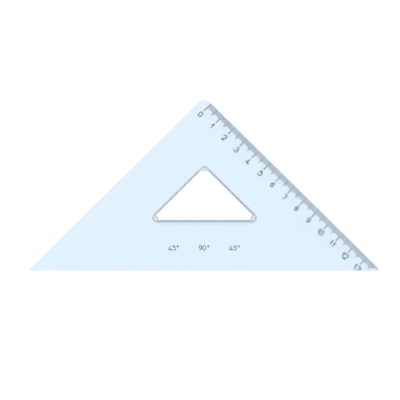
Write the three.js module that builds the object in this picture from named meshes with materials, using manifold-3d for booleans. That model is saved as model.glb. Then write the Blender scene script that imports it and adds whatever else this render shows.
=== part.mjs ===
// A 45 degree drafting triangle: one moulded plate of clear, pale blue plastic with a
// triangular window, and a scale in centimetres and millimetres along one leg.
// It lies flat, its long edge along X, its square corner towards +Y and its scale facing up.
// Lengths are in millimetres and angles in radians.

import * as THREE from "three";
import { mergeVertices } from "three/addons/utils/BufferGeometryUtils.js";
import Module from "manifold-3d";

// The plate
const LEG = 147; // from the square corner to a tip, both taken as sharp corners
const THICKNESS = 2;
const SQUARE_CORNER_RADIUS = 4.5;
const TIP_RADIUS = 0.8;
const EDGE_BREAK = 0.1; // the small flat that takes the bite off the outer edge of the top face

// The window. Its wall leans outwards towards the underside, so that a nail lifts the plate
const WINDOW_MARGIN = 30; // from each ruling edge to the window's edge in the top face
const WINDOW_CORNER_RADIUS = 1.4;
const WALL_LEAN = 1.5; // how much wider the window is in the underside, on each side
const RIM_DEPTH = 0.35; // the upright stretch of wall under the top face
const LIFT_WIDTH = 1.2; // of the shallow bevel beside the wall's foot, along the window's base
const LIFT_RISE = 0.22; // how far that bevel rises over its width
const LIFT_MARGIN = 2.8; // from the window's sharp corners to that bevel's ends

// The round pads in the window's corners, where pins push the plate out of its mould
const PAD_RADIUS = 3;
const PAD_THICKNESS = 0.5;
const PAD_DRAFT = 0.45; // how much smaller a pad is at its lower end
const PAD_RECESS = 0.2; // from the top face down to a pad
const TIP_PAD_REACH = 4.3; // from the window's sharp corner to a pad's far side
const SQUARE_PAD_REACH = 2.55;

// The scale. Its marks stand a little proud of the top face, so that only they take the ink
const PITCH = 1;
const SCALE_START = 5.9; // from the sharp square corner to the zero mark
const MILLIMETRE_MARK = 3.3; // how far into the plate the three kinds of mark reach
const HALF_CENTIMETRE_MARK = 4.8;
const CENTIMETRE_MARK = 6.1;
const FINE_WIDTH = 0.35; // of a millimetre mark
const BOLD_WIDTH = 0.45; // of the two longer kinds
const MARK_INSET = 0.12; // from the ruling edge to a mark's outer end
const MARK_HEIGHT = 0.08;
const BLANK_MARGIN = 1; // along the long edge, where nothing is printed
const INK_THICKNESS = 0.03;

// Counts, and how far a cutter runs past what it cuts
const MARKS_PER_CENTIMETRE = 10;
const MARKS_PER_HALF = 5;
const ARC_STEPS = 6;
const PAD_SIDES = 32;
const OVERRUN = 1;

// The directions of the edges: all angles of the plate follow from its two equal legs
const QUARTER = Math.PI / 4;
const ALONG = Math.cos(QUARTER); // a unit step down the leg, as a share on X and on Y
const TIP_HALF_ANGLE = QUARTER / 2;
const PEAK = LEG * ALONG; // height of the sharp square corner over the long edge

// Each corner has its sharp point, half its angle, the way into the plate along its
// bisector, and the directions that its two edges face
const CORNERS = [
  {
    point: new THREE.Vector2(PEAK, 0),
    halfAngle: TIP_HALF_ANGLE,
    inward: Math.PI - TIP_HALF_ANGLE,
    from: -2 * QUARTER,
    to: QUARTER,
  },
  {
    point: new THREE.Vector2(0, PEAK),
    halfAngle: QUARTER,
    inward: -2 * QUARTER,
    from: QUARTER,
    to: 3 * QUARTER,
  },
  {
    point: new THREE.Vector2(-PEAK, 0),
    halfAngle: TIP_HALF_ANGLE,
    inward: TIP_HALF_ANGLE,
    from: 3 * QUARTER,
    to: 6 * QUARTER,
  },
];

// The point on a corner's bisector that lies this far inside both of its edges
function insideCorner(corner, distance) {
  const reach = distance / Math.sin(corner.halfAngle);
  return new THREE.Vector2(Math.cos(corner.inward), Math.sin(corner.inward))
    .multiplyScalar(reach)
    .add(corner.point);
}

// The plate's triangle moved in by inset, with rounded corners, and then grown all round
function triangle(inset, tipRadius, squareRadius, growth = 0) {
  const outline = new THREE.Shape();
  for (const corner of CORNERS) {
    const radius = corner.halfAngle === QUARTER ? squareRadius : tipRadius;
    const centre = insideCorner(corner, inset + radius);
    outline.absarc(centre.x, centre.y, radius + growth, corner.from, corner.to, false);
  }
  return outline.getPoints(ARC_STEPS);
}

// A closed body through outlines at rising heights, all with the same number of points
function loft(sections) {
  const count = sections[0].points.length;
  const positions = [];
  for (const { z, points } of sections) {
    for (const { x, y } of points) positions.push(x, y, z);
  }
  const faces = [];
  for (let layer = 0; layer + 1 < sections.length; layer += 1) {
    for (let i = 0; i < count; i += 1) {
      const low = layer * count + i;
      const lowNext = layer * count + ((i + 1) % count);
      faces.push(low, lowNext, lowNext + count, low, lowNext + count, low + count);
    }
  }
  const top = (sections.length - 1) * count;
  for (const [a, b, c] of THREE.ShapeUtils.triangulateShape(sections[0].points, [])) {
    faces.push(c, b, a);
    faces.push(top + a, top + b, top + c);
  }
  const body = new THREE.BufferGeometry();
  body.setAttribute("position", new THREE.Float32BufferAttribute(positions, 3));
  body.setIndex(faces);
  return body;
}

const wasm = await Module();
wasm.setup();

function toSolid(geometry) {
  const bare = geometry.clone();
  bare.deleteAttribute("normal");
  bare.deleteAttribute("uv");
  const merged = mergeVertices(bare);
  const mesh = new wasm.Mesh({
    numProp: 3,
    vertProperties: new Float32Array(merged.attributes.position.array),
    triVerts: new Uint32Array(merged.index.array),
  });
  return new wasm.Manifold(mesh);
}

function toGeometry(solid) {
  const mesh = solid.getMesh();
  const geometry = new THREE.BufferGeometry();
  geometry.setAttribute("position", new THREE.BufferAttribute(mesh.vertProperties, 3));
  geometry.setIndex(new THREE.BufferAttribute(mesh.triVerts, 1));
  geometry.computeVertexNormals();
  return geometry;
}

// The plate's outer body. Its upper edge is broken, and its lower one stays sharp against
// the paper, where a pencil follows it
function blank() {
  const outline = triangle(0, TIP_RADIUS, SQUARE_CORNER_RADIUS);
  const face = triangle(0, TIP_RADIUS, SQUARE_CORNER_RADIUS, -EDGE_BREAK);
  return loft([
    { z: 0, points: outline },
    { z: THICKNESS - EDGE_BREAK, points: outline },
    { z: THICKNESS, points: face },
  ]);
}

// What is taken out for the window
function windowCutter() {
  const lower = triangle(WINDOW_MARGIN, WINDOW_CORNER_RADIUS, WINDOW_CORNER_RADIUS, WALL_LEAN);
  const upper = triangle(WINDOW_MARGIN, WINDOW_CORNER_RADIUS, WINDOW_CORNER_RADIUS);
  return loft([
    { z: -OVERRUN, points: lower },
    { z: 0, points: lower },
    { z: THICKNESS - RIM_DEPTH, points: upper },
    { z: THICKNESS + OVERRUN, points: upper },
  ]);
}

// What the bevel along the window's base takes from the underside
function liftCutter() {
  const foot = WINDOW_MARGIN - WALL_LEAN;
  const slope = LIFT_RISE / LIFT_WIDTH;
  const profile = new THREE.Shape([
    new THREE.Vector2(foot - LIFT_WIDTH, -OVERRUN),
    new THREE.Vector2(WINDOW_MARGIN, -OVERRUN),
    new THREE.Vector2(WINDOW_MARGIN, slope * (LIFT_WIDTH + WALL_LEAN)),
    new THREE.Vector2(foot - LIFT_WIDTH, 0),
  ]);
  const halfLength = insideCorner(CORNERS[0], WINDOW_MARGIN).x - LIFT_MARGIN;
  return new THREE.ExtrudeGeometry(profile, { depth: 2 * halfLength, bevelEnabled: false })
    .rotateX(2 * QUARTER)
    .rotateZ(2 * QUARTER)
    .translate(-halfLength, 0, 0);
}

// The ejector pad in one corner of the window
function pad(corner) {
  const reach = corner.halfAngle === QUARTER ? SQUARE_PAD_REACH : TIP_PAD_REACH;
  const setback = reach - PAD_RADIUS;
  const centre = insideCorner(corner, WINDOW_MARGIN + setback * Math.sin(corner.halfAngle));
  const lowerRadius = PAD_RADIUS - PAD_DRAFT;
  const middle = THICKNESS - PAD_RECESS - PAD_THICKNESS / 2;
  return new THREE.CylinderGeometry(PAD_RADIUS, lowerRadius, PAD_THICKNESS, PAD_SIDES)
    .rotateX(2 * QUARTER)
    .translate(centre.x, centre.y, middle);
}

// The marks of the scale, from the zero mark down to where the tip's rounding begins.
// One that would run into the blank margin along the long edge is cut short
function scaleMarks() {
  const end = LEG - TIP_RADIUS / Math.tan(TIP_HALF_ANGLE);
  const last = Math.floor((end - SCALE_START) / PITCH);
  const marks = [];
  for (let index = 0; index <= last; index += 1) {
    const along = SCALE_START + index * PITCH;
    let kind = "millimetre";
    let reach = MILLIMETRE_MARK;
    let width = FINE_WIDTH;
    if (index % MARKS_PER_HALF === 0) {
      kind = "half_centimetre";
      reach = HALF_CENTIMETRE_MARK;
      width = BOLD_WIDTH;
    }
    if (index % MARKS_PER_CENTIMETRE === 0) {
      kind = "centimetre";
      reach = CENTIMETRE_MARK;
    }
    const room = LEG - BLANK_MARGIN / ALONG - along;
    const inner = Math.min(reach, room);
    if (inner > MARK_INSET + width) marks.push({ index, kind, along, inner, width });
  }
  return marks;
}

// Sets a box of a mark's width and length, standing on a height, at its place on the leg
function placeMark(target, mark, length, height, bottom) {
  const inwards = mark.inner - length / 2;
  target.rotation.z = -QUARTER;
  target.position.set(
    (mark.along - inwards) * ALONG,
    PEAK - (mark.along + inwards) * ALONG,
    bottom + height / 2,
  );
  return target;
}

function markBox(mark, height, bottom) {
  const length = mark.inner - MARK_INSET;
  const box = new THREE.BoxGeometry(mark.width, length, height);
  return placeMark(new THREE.Mesh(box), mark, length, height, bottom);
}

const clearBlue = new THREE.MeshStandardMaterial({
  color: 0xe0f2ff,
  roughness: 0.08,
  metalness: 0,
  transparent: true,
  opacity: 0.55,
});
const blackInk = new THREE.MeshStandardMaterial({
  color: 0x23262a,
  roughness: 0.6,
  metalness: 0,
});

// The plate is one moulding, so its pads and the raised marks are joined to it
function plate(marks) {
  let solid = toSolid(blank()).subtract(toSolid(windowCutter()));
  solid = solid.subtract(toSolid(liftCutter()));
  for (const corner of CORNERS) solid = solid.add(toSolid(pad(corner)));
  for (const mark of marks) {
    const rib = markBox(mark, 2 * MARK_HEIGHT, THICKNESS - MARK_HEIGHT);
    rib.updateMatrix();
    solid = solid.add(toSolid(rib.geometry.applyMatrix4(rib.matrix)));
  }
  const mesh = new THREE.Mesh(toGeometry(solid), clearBlue);
  mesh.name = "moulded_plate";
  return mesh;
}

// The film of ink on one raised mark, numbered by the centimetre that it begins or halves
function inkedMark(mark) {
  const film = markBox(mark, INK_THICKNESS, THICKNESS + MARK_HEIGHT);
  const number = Math.floor(mark.index / MARKS_PER_CENTIMETRE);
  film.material = blackInk;
  film.name = `${mark.kind}_mark_${String(number).padStart(2, "0")}`;
  return film;
}

const marks = scaleMarks();
const drawingTriangle = new THREE.Group();
drawingTriangle.add(plate(marks));
for (const mark of marks) {
  if (mark.kind !== "millimetre") drawingTriangle.add(inkedMark(mark));
}

// The origin is under the middle of the plate's box, on the surface that it lies on
const squareCentre = insideCorner(CORNERS[1], SQUARE_CORNER_RADIUS);
drawingTriangle.position.y = -(squareCentre.y + SQUARE_CORNER_RADIUS) / 2;

export default drawingTriangle;
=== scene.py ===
import math

import bpy
from mathutils import Matrix, Vector


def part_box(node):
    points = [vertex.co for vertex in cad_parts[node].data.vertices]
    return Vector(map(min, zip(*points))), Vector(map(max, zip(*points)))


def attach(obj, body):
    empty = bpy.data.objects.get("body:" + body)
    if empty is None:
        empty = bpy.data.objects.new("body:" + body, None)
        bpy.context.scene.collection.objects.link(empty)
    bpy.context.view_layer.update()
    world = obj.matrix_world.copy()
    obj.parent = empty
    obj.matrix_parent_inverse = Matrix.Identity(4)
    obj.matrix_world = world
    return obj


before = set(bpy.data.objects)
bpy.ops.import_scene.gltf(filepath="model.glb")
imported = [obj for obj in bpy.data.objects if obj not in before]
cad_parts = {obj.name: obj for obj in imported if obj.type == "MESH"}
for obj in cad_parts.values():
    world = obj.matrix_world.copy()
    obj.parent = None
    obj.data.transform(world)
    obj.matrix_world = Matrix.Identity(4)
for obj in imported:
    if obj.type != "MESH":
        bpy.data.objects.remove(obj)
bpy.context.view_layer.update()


# The moulded plate
# One injection moulding of clear, pale blue polystyrene, 2 mm thick. Its faces are polished
# in the mould, while the leaning wall round the window keeps the mould's fine grain and is painted
# grey, a painted shade for the dark line that the wall draws by bending and mirroring light.
def linear(hex_colour):
    """Turns an sRGB hex colour into the linear numbers that a colour input takes."""
    shares = [int(hex_colour[i : i + 2], 16) / 255 for i in (1, 3, 5)]
    return [s / 12.92 if s <= 0.04045 else ((s + 0.055) / 1.055) ** 2.4 for s in shares] + [1.0]


def add_node(tree, kind, inputs=None, **settings):
    """Adds a node. An input that is given another node's output is linked to it."""
    node = tree.nodes.new(kind)
    for name, value in settings.items():
        setattr(node, name, value)
    for key, value in (inputs or {}).items():
        if isinstance(value, bpy.types.NodeSocket):
            tree.links.new(value, node.inputs[key])
        else:
            node.inputs[key].default_value = value
    return node


def empty_tree(owner):
    """Switches a material or a world to nodes and clears them."""
    owner.use_nodes = True
    owner.node_tree.nodes.clear()
    return owner.node_tree


thickness = 2e-3
leg = 147e-3
window_margin = 30e-3
long_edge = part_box("moulded_plate")[0].y
square_corner = long_edge + leg / math.sqrt(2)
window_base = long_edge + window_margin
window_apex = square_corner - window_margin * math.sqrt(2)

# Polystyrene, dyed pale blue and injection moulded in a polished mould: clear, with sharp
# reflections that waver a little over long, low waves, and hairline scratches from use
polystyrene = bpy.data.materials.new("polystyrene_clear_blue_moulded")
tree = empty_tree(polystyrene)
coordinates = add_node(tree, "ShaderNodeTexCoord").outputs["Object"]

wave_length = 14e-3
wave_height = 8e-6
waves = add_node(
    tree, "ShaderNodeTexNoise", {"Vector": coordinates, "Scale": 1 / wave_length, "Detail": 1.0}
).outputs["Fac"]

# A scratch is drawn 0.3 mm wide, coarser than a real one, so that a render can show it. Only
# the peaks of the noise are scratches
scratch_width = 0.3e-3
scratch_length = 30e-3
scratch_slant = math.radians(38)
scratch_faint, scratch_full = 0.68, 0.78
scratch_course = add_node(
    tree,
    "ShaderNodeMapping",
    {
        "Vector": coordinates,
        "Rotation": (0, 0, scratch_slant),
        "Scale": (1 / scratch_length, 1 / scratch_width, 1),
    },
).outputs["Vector"]
scratch_noise = add_node(
    tree, "ShaderNodeTexNoise", {"Vector": scratch_course, "Scale": 1.0, "Detail": 1.0}
).outputs["Fac"]
scratches = add_node(
    tree,
    "ShaderNodeMapRange",
    {"Value": scratch_noise, "From Min": scratch_faint, "From Max": scratch_full},
).outputs["Result"]

# The mould's grain, with the wall's grey painted shade, lies on some faces near the window, inside an
# oval that clears the plate's outer edges. They are told apart by how level a face is, from 0 on an
# upright side to 1 on the top. That has no sign, because a face seen from inside the plastic has its
# normal turned round
oval_width = 84e-3
oval_depth = 54e-3
oval_drop = 5e-3
oval_middle = (window_base + window_apex) / 2 - oval_drop
oval = add_node(
    tree,
    "ShaderNodeMapping",
    {
        "Vector": coordinates,
        "Location": (0, oval_middle, 0),
        "Scale": (oval_width / 2, oval_depth / 2, 1),
    },
    vector_type="TEXTURE",
).outputs["Vector"]
from_middle = add_node(
    tree, "ShaderNodeVectorMath", {0: oval}, operation="LENGTH"
).outputs["Value"]
near_window = add_node(
    tree, "ShaderNodeMath", {0: from_middle, 1: 1.0}, operation="LESS_THAN"
).outputs["Value"]
normal = add_node(tree, "ShaderNodeNewGeometry").outputs["True Normal"]
upwards = add_node(tree, "ShaderNodeSeparateXYZ", {"Vector": normal}).outputs["Z"]
level_share = add_node(
    tree, "ShaderNodeMath", {0: upwards}, operation="ABSOLUTE"
).outputs["Value"]

# The leaning wall and the drafted flanks of the pads have all of the grain and of the painted shade
wall_level, wall_spread = 0.5, 0.35
wall = add_node(
    tree, "ShaderNodeMath", {0: level_share, 1: wall_level, 2: wall_spread}, operation="COMPARE"
).outputs["Value"]

# The shallow bevel under the window's base, 1.2 mm wide, rises 0.22 mm and has a little of it: a faint
# painted shade beside the base
lift_width = 1.2e-3
lift_rise = 0.22e-3
lift_level = math.cos(math.atan2(lift_rise, lift_width))
lift_spread = 0.01
lift_grain_and_shade = 0.3
lift_bevel = add_node(
    tree, "ShaderNodeMath", {0: level_share, 1: lift_level, 2: lift_spread}, operation="COMPARE"
).outputs["Value"]
sloping_grain_and_shade = add_node(
    tree, "ShaderNodeMath", {0: lift_bevel, 1: lift_grain_and_shade, 2: wall}, operation="MULTIPLY_ADD"
).outputs["Value"]

# The pads' faces have some of the grain and the painted shade. They are the only level ones well
# inside the plate's thickness
pad_middle = 1.55e-3
pad_reach = 0.3e-3
pad_level = 0.995
pad_grain_and_shade = 0.6
place = add_node(tree, "ShaderNodeSeparateXYZ", {"Vector": coordinates})
inside = add_node(
    tree,
    "ShaderNodeMath",
    {0: place.outputs["Z"], 1: pad_middle, 2: pad_reach},
    operation="COMPARE",
).outputs["Value"]
level = add_node(
    tree, "ShaderNodeMath", {0: level_share, 1: pad_level}, operation="GREATER_THAN"
).outputs["Value"]
pad_face = add_node(
    tree, "ShaderNodeMath", {0: inside, 1: level}, operation="MULTIPLY"
).outputs["Value"]
grain_and_shade_share = add_node(
    tree, "ShaderNodeMath", {0: pad_face, 1: pad_grain_and_shade, 2: sloping_grain_and_shade}, operation="MULTIPLY_ADD"
).outputs["Value"]
grain_and_painted_shade = add_node(
    tree, "ShaderNodeMath", {0: near_window, 1: grain_and_shade_share}, operation="MULTIPLY"
).outputs["Value"]

# The wall's painted shade is lighter in the corners, a painted light. Those at the base are found by
# folding X at the middle
painted_light_radius = 3.4e-3
tip_corner = (window_apex - window_base, window_base, 0)
upper_corner = (0, window_apex, 0)
folded_x = add_node(
    tree, "ShaderNodeMath", {0: place.outputs["X"]}, operation="ABSOLUTE"
).outputs["Value"]
folded = add_node(
    tree, "ShaderNodeCombineXYZ", {"X": folded_x, "Y": place.outputs["Y"]}
).outputs["Vector"]
to_tip, to_upper = [
    add_node(
        tree, "ShaderNodeVectorMath", {0: folded, 1: corner}, operation="DISTANCE"
    ).outputs["Value"]
    for corner in (tip_corner, upper_corner)
]
to_nearest = add_node(
    tree, "ShaderNodeMath", {0: to_tip, 1: to_upper}, operation="MINIMUM"
).outputs["Value"]
painted_light_corner = add_node(
    tree, "ShaderNodeMath", {0: to_nearest, 1: painted_light_radius}, operation="LESS_THAN"
).outputs["Value"]

# The grain, left by spark erosion in the mould, is drawn 0.25 mm wide, coarser than a real one,
# so that a render can show it. It mottles two greys, a painted shade for the wall's dark line, and the
# corners have more of the paler one, painted lighter there
grain_width = 0.25e-3
grain_height = 6e-6
mould_grain = add_node(
    tree, "ShaderNodeTexNoise", {"Vector": coordinates, "Scale": 1 / grain_width, "Detail": 2.0}
).outputs["Fac"]
noise_low, noise_high = 0.3, 0.7  # a noise seldom goes further
least_pale, most_pale = 0.13, 0.53
painted_corner_light = 0.3
mottle = add_node(
    tree,
    "ShaderNodeMapRange",
    {
        "Value": mould_grain,
        "From Min": noise_low,
        "From Max": noise_high,
        "To Min": least_pale,
        "To Max": most_pale,
    },
).outputs["Result"]
mottle_and_painted_corner_light = add_node(
    tree, "ShaderNodeMath", {0: painted_light_corner, 1: painted_corner_light, 2: mottle}, operation="MULTIPLY_ADD"
).outputs["Value"]
# The wall's grey is painted shade for its dark line, painted paler in the corners
painted_wall_shade = add_node(
    tree,
    "ShaderNodeMix",
    {"Factor": mottle_and_painted_corner_light, 6: linear("#aba8a6"), 7: linear("#e4e1de")},
    data_type="RGBA",
).outputs[2]

# Grained faces take the wall's painted grey in place of the plate's pale blue, and let less light through
colour = add_node(
    tree,
    "ShaderNodeMix",
    {"Factor": grain_and_painted_shade, 6: linear("#e8f4fe"), 7: painted_wall_shade},
    data_type="RGBA",
).outputs[2]
grained_clearness = 0.1
clearness = add_node(
    tree, "ShaderNodeMapRange", {"Value": grain_and_painted_shade, "To Min": 1.0, "To Max": grained_clearness}
).outputs["Result"]
polished_roughness, scratched_roughness, grained_roughness = 0.03, 0.2, 0.45
polish = add_node(
    tree,
    "ShaderNodeMapRange",
    {"Value": scratches, "To Min": polished_roughness, "To Max": scratched_roughness},
).outputs["Result"]
roughness = add_node(
    tree,
    "ShaderNodeMix",
    {"Factor": grain_and_painted_shade, 2: polish, 3: grained_roughness},
    data_type="FLOAT",
).outputs[0]
ripple = add_node(
    tree, "ShaderNodeBump", {"Height": waves, "Strength": 1.0, "Distance": wave_height}
).outputs["Normal"]
relief = add_node(
    tree,
    "ShaderNodeBump",
    {"Height": mould_grain, "Strength": grain_and_painted_shade, "Distance": grain_height, "Normal": ripple},
).outputs["Normal"]
body = add_node(
    tree,
    "ShaderNodeBsdfPrincipled",
    {
        "Base Color": colour,
        "Roughness": roughness,
        "IOR": 1.59,
        "Transmission Weight": clearness,
        "Normal": relief,
    },
).outputs["BSDF"]

# Lamps and the floor's soft light pass straight through, dyed by the plate. So does light that
# the plate has held by four reflections, where a real edge would glow and a render goes black
held_reflections = 4
passing_light = add_node(
    tree, "ShaderNodeBsdfTransparent", {"Color": linear("#f6fbff")}
).outputs["BSDF"]
ray = add_node(tree, "ShaderNodeLightPath")
unbent = add_node(
    tree,
    "ShaderNodeMath",
    {0: ray.outputs["Is Shadow Ray"], 1: ray.outputs["Is Diffuse Ray"]},
    operation="MAXIMUM",
).outputs["Value"]
held = add_node(
    tree,
    "ShaderNodeMath",
    {0: ray.outputs["Glossy Depth"], 1: held_reflections - 0.5},
    operation="GREATER_THAN",
).outputs["Value"]
straight = add_node(
    tree, "ShaderNodeMath", {0: unbent, 1: held}, operation="MAXIMUM"
).outputs["Value"]
surface = add_node(
    tree, "ShaderNodeMixShader", {0: straight, 1: body, 2: passing_light}
).outputs["Shader"]

# The dye takes up red and green along the light's way, so the plate is bluer edge on
dye = add_node(
    tree, "ShaderNodeVolumeAbsorption", {"Color": linear("#6cc4f0"), "Density": 20.0}
).outputs["Volume"]
add_node(tree, "ShaderNodeOutputMaterial", {"Surface": surface, "Volume": dye})
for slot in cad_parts["moulded_plate"].material_slots:
    slot.material = polystyrene


# The ink on the centimetre and half-centimetre marks
# Black foil, hot-stamped on the tops of the marks that stand out of the plate. Each mark
# carries its own film, 0.03 mm thick.

# Foil ink is matt and nearly black, a little uneven where the hot stamp pressed it on less well
foil_ink = bpy.data.materials.new("foil_ink_black_hot_stamped")
tree = empty_tree(foil_ink)
coordinates = add_node(tree, "ShaderNodeTexCoord").outputs["Object"]
blotch_width = 0.5e-3
blotch_height = 5e-6
smoothest, roughest = 0.45, 0.65
blotches = add_node(
    tree, "ShaderNodeTexNoise", {"Vector": coordinates, "Scale": 1 / blotch_width, "Detail": 3.0}
).outputs["Fac"]
ink_colour = add_node(
    tree,
    "ShaderNodeMix",
    {"Factor": blotches, 6: linear("#1d2024"), 7: linear("#34383d")},
    data_type="RGBA",
).outputs[2]
ink_roughness = add_node(
    tree, "ShaderNodeMapRange", {"Value": blotches, "To Min": smoothest, "To Max": roughest}
).outputs["Result"]
ink_relief = add_node(
    tree, "ShaderNodeBump", {"Height": blotches, "Strength": 1.0, "Distance": blotch_height}
).outputs["Normal"]
ink = add_node(
    tree,
    "ShaderNodeBsdfPrincipled",
    {"Base Color": ink_colour, "Roughness": ink_roughness, "Normal": ink_relief},
).outputs["BSDF"]
add_node(tree, "ShaderNodeOutputMaterial", {"Surface": ink})
for name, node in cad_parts.items():
    if "centimetre_mark" in name:
        for slot in node.material_slots:
            slot.material = foil_ink


# The ink on the millimetre marks
# The same foil on the short marks between them: four in each half centimetre, and the
# last ones cut short where they come near the long edge.
mark_width = 0.35e-3
bold_width = 0.45e-3
millimetre_film = 3.18e-3
blank_margin = 1e-3
marks_per_centimetre = 10
marks_per_half = 5
last_centimetre = 13
last_mark = 139

leg_turn = -math.pi / 4
down_leg = Vector((1, -1, 0)).normalized()
inwards = Vector((-1, -1, 0)).normalized()
first_low, first_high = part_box("centimetre_mark_00")
end_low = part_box(f"centimetre_mark_{last_centimetre}")[0]
centimetre_film = (first_high.x - first_low.x) * math.sqrt(2) - bold_width
film_thickness = first_high.z - first_low.z
pitch = (end_low - first_low).length / (last_centimetre * marks_per_centimetre)
scale_zero = (first_low + first_high) / 2 - inwards * centimetre_film / 2


def take(piece):
    """Makes one object the only one selected, and the active one."""
    bpy.ops.object.select_all(action="DESELECT")
    piece.select_set(True)
    bpy.context.view_layer.objects.active = piece


def join(pieces, name):
    """Joins pieces to one, with its place in its mesh."""
    take(pieces[0])
    for piece in pieces:
        piece.select_set(True)
    bpy.ops.object.join()
    joined = bpy.context.object
    joined.name = name
    bpy.ops.object.transform_apply(location=True, rotation=True, scale=True)
    return joined


# One film is made, across the leg and with its rim broken, and copied to each mark
bpy.ops.object.select_all(action="DESELECT")
bpy.ops.mesh.primitive_cube_add(size=1, rotation=(0, 0, leg_turn))
film = bpy.context.object
film.scale = (mark_width, millimetre_film, film_thickness)
bpy.ops.object.transform_apply(location=False, rotation=True, scale=True)
broken_rim = film.modifiers.new("broken_rim", "BEVEL")
broken_rim.width = film_thickness / 4
broken_rim.segments = 1
bpy.ops.object.modifier_apply(modifier=broken_rim.name)
film.data.materials.append(foil_ink)

films = []
for index in range(last_mark + 1):
    if index % marks_per_half == 0:
        continue
    outer_end = scale_zero + down_leg * pitch * index
    take(film)
    bpy.ops.object.duplicate()
    copy = bpy.context.object
    copy.location = outer_end + inwards * millimetre_film / 2
    free_length = (outer_end.y - long_edge - blank_margin) * math.sqrt(2)
    if free_length < millimetre_film:
        bpy.ops.object.mode_set(mode="EDIT")
        bpy.ops.mesh.select_all(action="SELECT")
        bpy.ops.mesh.bisect(
            plane_co=outer_end + inwards * free_length,
            plane_no=inwards,
            use_fill=True,
            clear_outer=True,
        )
        bpy.ops.object.mode_set(mode="OBJECT")
    films.append(copy)
bpy.data.objects.remove(film)
millimetre_ink = join(films, "ink_on_millimetre_marks")
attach(millimetre_ink, "root")


# The numerals
# Figures 0 to 13 at the inner ends of the centimetre marks, raised like the marks and
# covered by the same foil. Each is drawn with a round pen 0.48 mm wide.

# Each stroke is a row of corners: how far right of the figure's middle, how far up and how far
# from the corner its rounding starts, as shares of a figure's height. It breaks at a sharp
# corner, and one that ends where it starts is a ring
stroke_shares = {
    "0": [
        [(0.27, -0.02, 0.28), (0.27, 1, 0.28), (-0.32, 1, 0.28), (-0.32, -0.02, 0.28), (0.27, -0.02, 0.28)],
    ],
    "1": [[(-0.28, 0.66, 0), (0, 1, 0), (0, 0.03, 0)]],
    "2": [
        [(-0.32, 0.72, 0), (-0.32, 1.03, 0.22), (0.3, 1.03, 0.24), (0.3, 0.54, 0.16), (-0.32, -0.06, 0)],
        [(-0.32, -0.06, 0), (0.32, -0.06, 0)],
    ],
    "3": [
        [(-0.2, 0.88, 0), (-0.2, 1, 0.1), (0.36, 1, 0.24), (0.36, 0.54, 0.2), (0.04, 0.54, 0)],
        [(0.04, 0.54, 0), (0.4, 0.54, 0.26), (0.4, 0, 0.26), (-0.24, 0, 0.2), (-0.24, 0.26, 0)],
    ],
    "4": [[(0.08, 0.95, 0), (-0.36, 0.13, 0), (0.36, 0.13, 0)], [(0.15, 0.45, 0), (0.15, -0.04, 0)]],
    "5": [
        [(0.28, 0.96, 0), (-0.22, 0.96, 0), (-0.26, 0.66, 0)],
        [(-0.26, 0.66, 0), (0.36, 0.74, 0.28), (0.36, 0, 0.28), (-0.28, 0, 0.2), (-0.28, 0.22, 0)],
    ],
    "6": [
        [(0.3, 0.09, 0.27), (0.3, 0.7, 0.27), (-0.27, 0.7, 0.27), (-0.27, 0.09, 0.27), (0.3, 0.09, 0.27)],
        [(0.24, 1.02, 0), (-0.27, 0.8, 0.3), (-0.27, 0.37, 0)],
    ],
    "7": [[(-0.26, 1, 0), (0.46, 1, 0), (0.09, 0.06, 0)]],
    "8": [
        [(0.3, 0.58, 0.2), (0.3, 1, 0.2), (-0.2, 1, 0.2), (-0.2, 0.58, 0.2), (0.3, 0.58, 0.2)],
        [(0.33, 0.1, 0.24), (0.33, 0.6, 0.24), (-0.25, 0.6, 0.24), (-0.25, 0.1, 0.24), (0.33, 0.1, 0.24)],
    ],
    "9": [
        [(0.33, 0.46, 0.28), (0.33, 1.04, 0.28), (-0.3, 1.04, 0.28), (-0.3, 0.46, 0.28), (0.33, 0.46, 0.28)],
        [(-0.18, 0.02, 0), (0.33, 0.27, 0.3), (0.33, 0.75, 0)],
    ],
    "°": [[(0.15, 0.7, 0.14), (0.15, 1, 0.14), (-0.15, 1, 0.14), (-0.15, 0.7, 0.14), (0.15, 0.7, 0.14)]],
}
numeral_height = 2.95e-3
numeral_spacing = 1.95e-3
pen_width = 0.48e-3
print_height = first_high.z - thickness
drawing_scale = 1000  # figures are drawn in millimetres, because cuts fail at their real size
weld_distance = 1e-4  # in millimetres, as the figures are drawn
slimmer_share = 0.02  # each line of a figure is slimmer than the last, so no two coincide
cut_share = 0.1  # how far over a tube's middle it is cut, as a share of the print's height
smooth_angle = math.radians(40)
arc_steps = 6
end_angles = [math.radians(degrees) for degrees in (30, 60, 85)]  # rows of a line's round ends


def rounded(before, corner, after):
    """Points round one corner of a stroke, on a parabola that starts and ends on its legs."""
    here = Vector(corner[:2])
    start = here + (Vector(before[:2]) - here).normalized() * corner[2]
    end = here + (Vector(after[:2]) - here).normalized() * corner[2]
    turn = [step / arc_steps for step in range(arc_steps + 1)]
    return [start * (1 - t) ** 2 + here * 2 * t * (1 - t) + end * t**2 for t in turn]


def pen_runs(stroke):
    """Splits a stroke into runs of points without a sharp corner, each open or a ring."""
    if stroke[0] == stroke[-1]:
        befores, afters = [stroke[-2], *stroke], stroke[1:]
        ring = [p for corner in zip(befores, stroke, afters) for p in rounded(*corner)]
        return [(ring, True)]
    runs = []
    run = [Vector(stroke[0][:2])]
    for before, corner, after in zip(stroke, stroke[1:], stroke[2:]):
        if corner[2]:
            run += rounded(before, corner, after)
        else:
            run.append(Vector(corner[:2]))
            runs.append((run, False))
            run = run[-1:]
    runs.append((run + [Vector(stroke[-1][:2])], False))
    return runs


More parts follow.
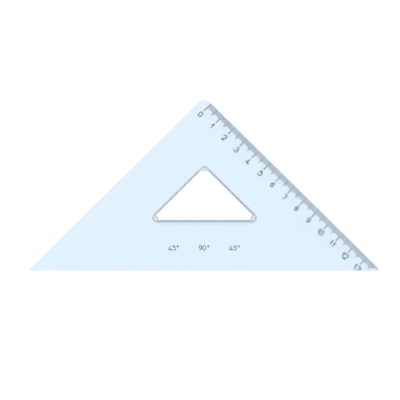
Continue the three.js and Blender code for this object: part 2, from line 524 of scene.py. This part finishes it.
def pen_line(run, closed, height, pen):
    """A tube along a run, flattened to twice the print's height, with round ends."""
    places = [point * height * drawing_scale for point in run]
    pen_radius = pen / 2 * drawing_scale
    rows = [(place, 1.0) for place in places]
    if not closed:
        behind = (places[0] - places[1]).normalized() * pen_radius
        ahead = (places[-1] - places[-2]).normalized() * pen_radius
        for angle in end_angles:
            rows.insert(0, (places[0] + behind * math.sin(angle), math.cos(angle)))
            rows.append((places[-1] + ahead * math.sin(angle), math.cos(angle)))
    curve = bpy.data.curves.new("stroke", "CURVE")
    curve.dimensions = "3D"
    curve.bevel_depth = pen_radius
    curve.bevel_resolution = 3
    curve.use_fill_caps = True
    spline = curve.splines.new("POLY")
    spline.use_cyclic_u = closed
    spline.points.add(len(rows) - 1)
    for point, (place, radius) in zip(spline.points, rows):
        point.co = (*place, 0, 1)
        point.radius = radius
    line = bpy.data.objects.new("stroke", curve)
    bpy.context.collection.objects.link(line)
    take(line)
    bpy.ops.object.convert(target="MESH")
    line = bpy.context.object
    line.scale.z = print_height / (pen / 2)
    bpy.ops.object.transform_apply(location=False, rotation=False, scale=True)
    bpy.ops.object.mode_set(mode="EDIT")
    bpy.ops.mesh.select_all(action="SELECT")
    bpy.ops.mesh.remove_doubles(threshold=weld_distance)
    bpy.ops.mesh.normals_make_consistent(inside=False)
    bpy.ops.object.mode_set(mode="OBJECT")
    return line


def draw_figure(character, height, pen):
    """One skin of a figure's lines, cut flat below, with the middle of its foot at the origin."""
    runs = [run for stroke in stroke_shares[character] for run in pen_runs(stroke)]
    pens = [pen * (1 - order * slimmer_share) for order in range(len(runs))]
    lines = [pen_line(*run, height, line_pen) for run, line_pen in zip(runs, pens)]
    figure = join(lines, "figure")
    bpy.ops.object.select_all(action="DESELECT")
    block_size = 4 * height * drawing_scale
    cut = print_height * drawing_scale * cut_share
    bpy.ops.mesh.primitive_cube_add(size=block_size, location=(0, 0, cut - block_size / 2))
    block = bpy.context.object
    take(figure)
    flat_cut = figure.modifiers.new("flat_cut", "BOOLEAN")
    flat_cut.operation = "DIFFERENCE"
    flat_cut.solver = "EXACT"
    flat_cut.use_self = True
    flat_cut.object = block
    bpy.ops.object.modifier_apply(modifier=flat_cut.name)
    bpy.data.objects.remove(block)
    figure.location.z = -cut
    bpy.ops.object.transform_apply(location=True, rotation=False, scale=False)
    figure.data.materials.append(foil_ink)
    bpy.ops.object.shade_smooth_by_angle(angle=smooth_angle)
    return figure


def print_line(text, height, spacing, centre, turned):
    """Copies figures into a line with its centre at a point, turned about Z."""
    copies = []
    line_place = Matrix.Translation(centre * drawing_scale) @ Matrix.Rotation(turned, 4, "Z")
    for index, character in enumerate(text):
        take(figures[character, height])
        bpy.ops.object.duplicate()
        copy = bpy.context.object
        across = (index - (len(text) - 1) / 2) * spacing
        foot = Vector((across, -height / 2, 0)) * drawing_scale
        copy.matrix_world = line_place @ Matrix.Translation(foot)
        copies.append(copy)
    return copies


def to_real_size(print_piece):
    """Scales a finished print down from the size that it was drawn at."""
    print_piece.scale = (1 / drawing_scale,) * 3
    take(print_piece)
    bpy.ops.object.transform_apply(location=False, rotation=False, scale=True)


figures = {(c, numeral_height): draw_figure(c, numeral_height, pen_width) for c in "0123456789"}
mark_inset = 0.12e-3  # from the scale's edge to the outer end of a mark
numeral_inset = 9.02e-3  # from the scale's edge to the middle of a numeral
pair_inset = 8.75e-3  # the same for numbers of two figures, a little nearer to their marks
numerals = []
for number in range(last_centimetre + 1):
    low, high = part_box(f"centimetre_mark_{number:02d}")
    inset = numeral_inset if number < 10 else pair_inset
    middle = (low + high) / 2 + inwards * (inset - mark_inset - centimetre_film / 2)
    middle.z = thickness
    numerals += print_line(str(number), numeral_height, numeral_spacing, middle, leg_turn)

# The last numeral runs off the plate: what would hang over the long edge isn't printed
edge_clearance = 0.25e-3
numeral_ink = join(numerals, "ink_of_numerals")
bpy.ops.object.mode_set(mode="EDIT")
bpy.ops.mesh.select_all(action="SELECT")
bpy.ops.mesh.bisect(
    plane_co=(0, (long_edge + edge_clearance) * drawing_scale, 0),
    plane_no=(0, -1, 0),
    use_fill=True,
    clear_outer=True,
)
bpy.ops.object.mode_set(mode="OBJECT")
to_real_size(numeral_ink)
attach(numeral_ink, "root")


# The line of print under the window
# The plate's three angles in plain figures, between the window and the long edge. They stand
# out of the plate and carry the same foil, as the numerals do.
angle_height = 2.6e-3
angle_pen = 0.36e-3
figure_spacing = 2.3e-3
angle_spacing = 18e-3
print_line_height = 13.4e-3
figures.update({(c, angle_height): draw_figure(c, angle_height, angle_pen) for c in "4590°"})
angles = []
for text, column in (("45°", -1), ("90°", 0), ("45°", 1)):
    middle = Vector((column * angle_spacing, long_edge + print_line_height, thickness))
    angles += print_line(text, angle_height, figure_spacing, middle, 0)
angle_ink = join(angles, "ink_of_angles")
to_real_size(angle_ink)
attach(angle_ink, "root")
for figure in figures.values():
    bpy.data.objects.remove(figure)


# The floor, the light and the camera
# A white sheet in soft studio light: a white room, and one large lamp high up on the left.
# The plate lies on the sheet, a hair above it so that their faces don't coincide.
floor_size = 6.0
floor_gap = 0.03e-3
bpy.ops.object.select_all(action="DESELECT")
bpy.ops.mesh.primitive_plane_add(size=floor_size, location=(0, 0, -floor_gap))
floor = bpy.context.object
floor.name = "white_floor"

# White card, matt: the lit part of its white shows the plate's shadow, and the plain part
# doesn't depend on the light
plain_share = 0.65
white_card = bpy.data.materials.new("card_white_matt")
tree = empty_tree(white_card)
lit_white = add_node(
    tree, "ShaderNodeBsdfDiffuse", {"Color": linear("#fafafa")}
).outputs["BSDF"]
plain_white = add_node(tree, "ShaderNodeEmission", {"Strength": 1.0}).outputs["Emission"]


def seen_by_eye(tree, weight):
    """A factor of this weight for rays that the camera, a mirror or glass sends, and else 0."""
    ray = add_node(tree, "ShaderNodeLightPath")
    seen_or_mirrored = add_node(
        tree,
        "ShaderNodeMath",
        {0: ray.outputs["Is Camera Ray"], 1: ray.outputs["Is Glossy Ray"]},
        operation="MAXIMUM",
    ).outputs["Value"]
    seen = add_node(
        tree,
        "ShaderNodeMath",
        {0: seen_or_mirrored, 1: ray.outputs["Is Transmission Ray"]},
        operation="MAXIMUM",
    ).outputs["Value"]
    return add_node(
        tree, "ShaderNodeMath", {0: seen, 1: weight}, operation="MULTIPLY"
    ).outputs["Value"]


card_surface = add_node(
    tree, "ShaderNodeMixShader", {0: seen_by_eye(tree, plain_share), 1: lit_white, 2: plain_white}
).outputs["Shader"]
add_node(tree, "ShaderNodeOutputMaterial", {"Surface": card_surface})
floor.data.materials.append(white_card)

# The room lights the plate a little less than its white looks
room_strength = 0.97
world = bpy.data.worlds.new("white_studio")
bpy.context.scene.world = world
tree = empty_tree(world)
room, backdrop = [
    add_node(
        tree, "ShaderNodeBackground", {"Color": linear("#ffffff"), "Strength": strength}
    ).outputs["Background"]
    for strength in (room_strength, 1.0)
]
studio = add_node(
    tree, "ShaderNodeMixShader", {0: seen_by_eye(tree, 1.0), 1: room, 2: backdrop}
).outputs["Shader"]
add_node(tree, "ShaderNodeOutputWorld", {"Surface": studio})

lamp_size = 0.8
lamp_place = Vector((-0.9, 0.6, 1.4))
lamp_watts = 6.5
lamp = bpy.data.objects.new("soft_lamp", bpy.data.lights.new("soft_lamp", "AREA"))
lamp.data.shape = "SQUARE"
lamp.data.size = lamp_size
lamp.data.energy = lamp_watts
lamp.location = lamp_place
lamp.rotation_euler = (-lamp_place).to_track_quat("-Z", "Y").to_euler()
bpy.context.collection.objects.link(lamp)

# The camera looks down steeply from the long edge's side. The photograph is 237 mm wide at the
# plate, and the point in its middle lies a little left of the plate's middle and below it
sensor_width = 36.0
focal_length = 200.0
view_width = 236.9e-3
view_middle = Vector((-2.6e-3, -9.13e-3, thickness))
elevation = math.radians(82.5)
view_distance = view_width * focal_length / sensor_width
lens = bpy.data.cameras.new("long_lens")
lens.sensor_width = sensor_width
lens.lens = focal_length
camera = bpy.data.objects.new("camera", lens)
towards_camera = Vector((0, -math.cos(elevation), math.sin(elevation)))
camera.location = view_middle + towards_camera * view_distance
camera.rotation_euler = (math.pi / 2 - elevation, 0, 0)
bpy.context.collection.objects.link(camera)
bpy.context.scene.camera = camera
bpy.context.scene.view_settings.view_transform = "Standard"
